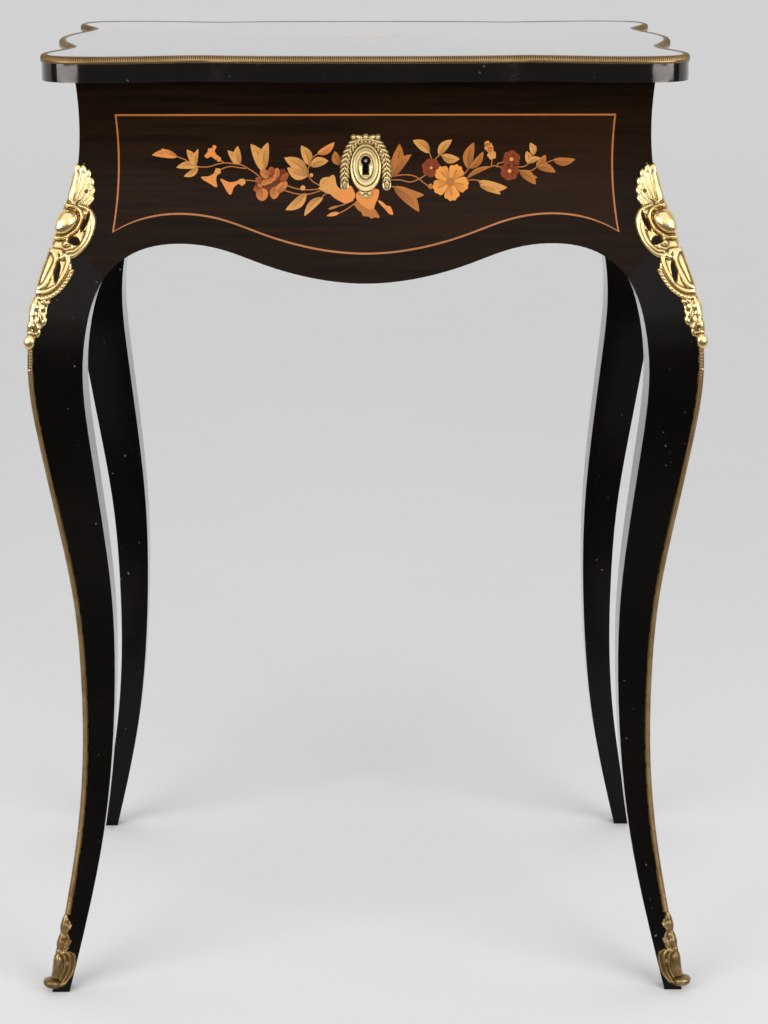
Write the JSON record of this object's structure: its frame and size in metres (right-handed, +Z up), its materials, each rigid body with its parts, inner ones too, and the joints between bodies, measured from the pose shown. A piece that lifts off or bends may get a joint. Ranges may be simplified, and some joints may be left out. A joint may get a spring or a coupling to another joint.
{
  "type": "dressing table",
  "caption": "Small lift-top dressing table on cabriole legs, with shaped aprons, a mirror under the hinged lid, inlaid front and gilt corner mounts.",
  "frame": {"origin": "on the floor, under the middle of the case", "axes": "+Z up, the front with the lock faces -Y, the sitter's right hand is at +X"},
  "size_m": [0.5304, 0.3907, 0.75],
  "materials": {
    "ebonised_wood": "black stain under gloss polish",
    "dark_veneer": "gloss polish",
    "light_inlay": "gloss polish",
    "inner_wood": "satin polish",
    "mirror": "silvered",
    "gilt_brass": "gilt, rubbed",
    "worn_brass": "worn lacquer",
    "hinge_brass": "plain",
    "lock_steel": "plain"
  },
  "bodies": {
    "case": {"arris_strip_left": "worn_brass", "arris_strip_right": "worn_brass", "bottom_bearers": "inner_wood", "bottom_board": "inner_wood", "chute_left": "gilt_brass", "chute_right": "gilt_brass", "escutcheon": "gilt_brass", "escutcheon_pins": "gilt_brass", "front_apron": "ebonised_wood", "front_marquetry_panel": "dark_veneer", "front_stringing": "light_inlay", "front_veneer_border": "dark_veneer", "hinge_case_leaf_left": "hinge_brass", "hinge_case_leaf_right": "hinge_brass", "hinge_case_screws": "hinge_brass", "hinge_pins": "hinge_brass", "left_apron": "ebonised_wood", "left_panel": "dark_veneer", "left_stringing": "light_inlay", "left_veneer_border": "dark_veneer", "leg_front_left": "ebonised_wood", "leg_front_right": "ebonised_wood", "leg_rear_left": "ebonised_wood", "leg_rear_right": "ebonised_wood", "lock_case": "lock_steel", "lock_drill_pin": "lock_steel", "lock_screws": "lock_steel", "mount_pins": "gilt_brass", "partition_left": "inner_wood", "partition_right": "inner_wood", "rear_apron": "ebonised_wood", "right_apron": "ebonised_wood", "right_panel": "dark_veneer", "right_stringing": "light_inlay", "right_veneer_border": "dark_veneer", "sabot_left": "worn_brass", "sabot_right": "worn_brass"},
    "lid": {"hinge_lid_leaf_left": "hinge_brass", "hinge_lid_leaf_right": "hinge_brass", "hinge_lid_screws": "hinge_brass", "lid_board": "ebonised_wood", "lid_rim": "worn_brass", "lid_top_veneer": "dark_veneer", "mirror_frame_back": "inner_wood", "mirror_frame_front": "inner_wood", "mirror_frame_left": "inner_wood", "mirror_frame_right": "inner_wood", "mirror_glass": "mirror", "strike_plate": "hinge_brass", "strike_screws": "hinge_brass"},
    "bolt": {"lock_bolt": "lock_steel"}
  },
  "joints": [
    {"name": "lid_hinge", "type": "hinge", "parent": "case", "child": "lid", "pos_m": [0, 0.1575, 0.7305], "axis": [-1, 0, 0], "range_deg": [0, 100]},
    {"name": "bolt_slide", "type": "slide", "parent": "case", "child": "bolt", "axis": [-1, 0, 0], "range_m": [0, 0.008]}
  ]
}
